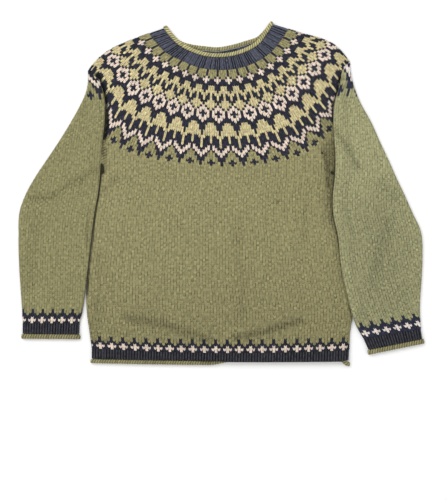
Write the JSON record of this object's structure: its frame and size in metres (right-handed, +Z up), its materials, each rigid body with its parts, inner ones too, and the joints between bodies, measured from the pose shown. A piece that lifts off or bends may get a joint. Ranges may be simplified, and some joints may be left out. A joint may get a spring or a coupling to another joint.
{
  "type": "norwegian sweater",
  "caption": "Hand-knitted wool sweater with a patterned round yoke, ribbed neck, cuffs and hem and curled edges, laid flat on a surface",
  "frame": {"origin": "under the middle of the garment's bounding box, on the surface it lies on", "axes": "X runs across the garment to the picture's right sleeve, Y from the hem to the neck, Z up out of the surface"},
  "size_m": [0.8104, 0.6891, 0.0142],
  "materials": {
    "olive_wool": "matt olive-green wool in stocking stitch",
    "navy_wool": "matt dark blue wool in ribbing",
    "yoke_pattern": "matt wool in stranded colourwork of dark blue, olive, light olive and pale peach"
  },
  "bodies": {
    "root": {"neck_roll": "olive_wool", "neck_band": "navy_wool", "yoke": "yoke_pattern", "body": "olive_wool", "hem_band": "navy_wool", "hem_roll": "olive_wool", "sleeve_left": "olive_wool", "cuff_band_left": "navy_wool", "cuff_roll_left": "olive_wool", "sleeve_right": "olive_wool", "cuff_band_right": "navy_wool", "cuff_roll_right": "olive_wool"}
  },
  "joints": []
}
